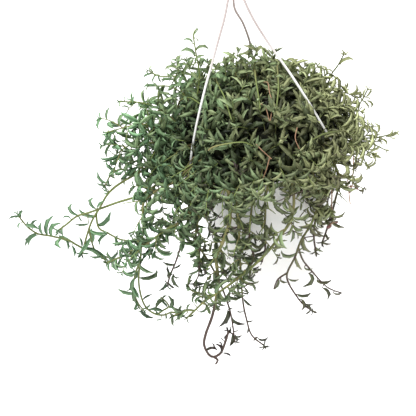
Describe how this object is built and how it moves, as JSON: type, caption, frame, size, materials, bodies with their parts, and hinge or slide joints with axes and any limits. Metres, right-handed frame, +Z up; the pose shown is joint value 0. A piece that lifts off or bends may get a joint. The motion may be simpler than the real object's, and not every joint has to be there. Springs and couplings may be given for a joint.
{
  "type": "potted string of dolphins in a hanging pot",
  "caption": "Trailing succulent with dolphin-shaped leaves: a dense mound and long leafy stems over a white plastic hanging pot with a three-strand hanger.",
  "frame": {"origin": "the point inside the hook that bears on whatever the pot hangs from", "axes": "+Z up along the hanger's line, -Y towards the front of the plant, +X to its right"},
  "size_m": [0.4879, 0.2837, 0.5389],
  "materials": {
    "pot_plastic": "smooth white moulded plastic, slightly dusty",
    "hanger_plastic": "white moulded plastic with a soft shine",
    "potting_soil": "dark crumbly potting soil, fully rough",
    "leaf": "waxy green succulent leaf with pale margins, on olive to tan stems",
    "stalk": "thin reddish-brown stalk, dry and matt"
  },
  "bodies": {
    "root": {"bud_stalk_high": "stalk", "bud_stalk_low": "stalk", "crown": "leaf", "dry_stalk": "stalk", "hanger": "hanger_plastic", "pot": "pot_plastic", "soil": "potting_soil", "spray_left_a": "leaf", "spray_left_b": "leaf", "spray_left_c": "leaf", "spray_left_d": "leaf", "spray_left_e": "leaf", "spray_right_a": "leaf", "spray_right_b": "leaf", "spray_right_c": "leaf", "spray_right_d": "leaf", "spray_right_e": "leaf", "spray_upright": "leaf", "trail_back_1": "leaf", "trail_back_2": "leaf", "trail_back_3": "leaf", "trail_back_4": "leaf", "trail_back_5": "leaf", "trail_back_6": "leaf", "trail_back_7": "leaf", "trail_bare": "leaf", "trail_diagonal": "leaf", "trail_front_a": "leaf", "trail_front_b": "leaf", "trail_front_c": "leaf", "trail_front_d": "leaf", "trail_front_e": "leaf", "trail_left_long": "leaf", "trail_left_loop": "leaf", "trail_left_low": "leaf", "trail_left_runner": "leaf", "trail_right_a": "leaf", "trail_right_b": "leaf", "trail_right_c": "leaf"}
  },
  "joints": []
}
